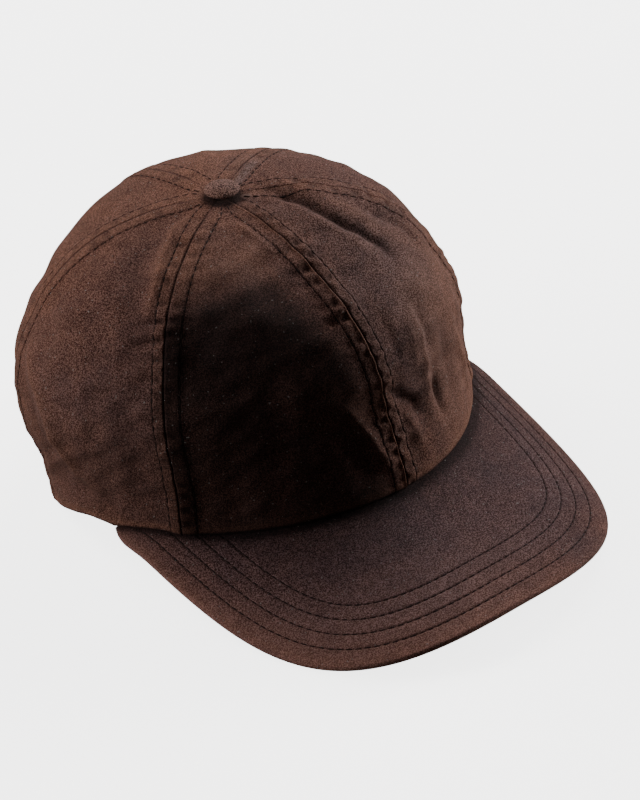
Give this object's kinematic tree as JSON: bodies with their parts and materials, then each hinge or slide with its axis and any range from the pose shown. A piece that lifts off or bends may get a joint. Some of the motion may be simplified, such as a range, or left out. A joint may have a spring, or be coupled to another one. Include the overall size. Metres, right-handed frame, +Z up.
{
  "type": "waxed cap",
  "caption": "Soft waxed-cotton cap with a panelled crown, a covered button and a curved peak, open below for a head.",
  "frame": {"origin": "middle of the base of the whole cap, on the surface that it lies on", "axes": "+Z up; the peak points along -Y; +X is the wearer's left"},
  "size_m": [0.1962, 0.251, 0.1311],
  "materials": {
    "crown_cloth": "dark brown waxed cotton, dull with a faint waxy sheen, lighter on its folds and seams",
    "button_cloth": "dark brown waxed cotton, slightly worn",
    "peak_cloth": "dark brown waxed cotton, a little greyer than the crown, with dark stitching",
    "peak_under_cloth": "dark reddish brown waxed cotton"
  },
  "bodies": {
    "root": {"front_panel_right": "crown_cloth", "front_panel_left": "crown_cloth", "side_panel_right": "crown_cloth", "side_panel_left": "crown_cloth", "back_panel_right": "crown_cloth", "back_panel_left": "crown_cloth", "top_button": "button_cloth", "peak_upper": "peak_cloth", "peak_under": "peak_under_cloth"}
  },
  "joints": []
}
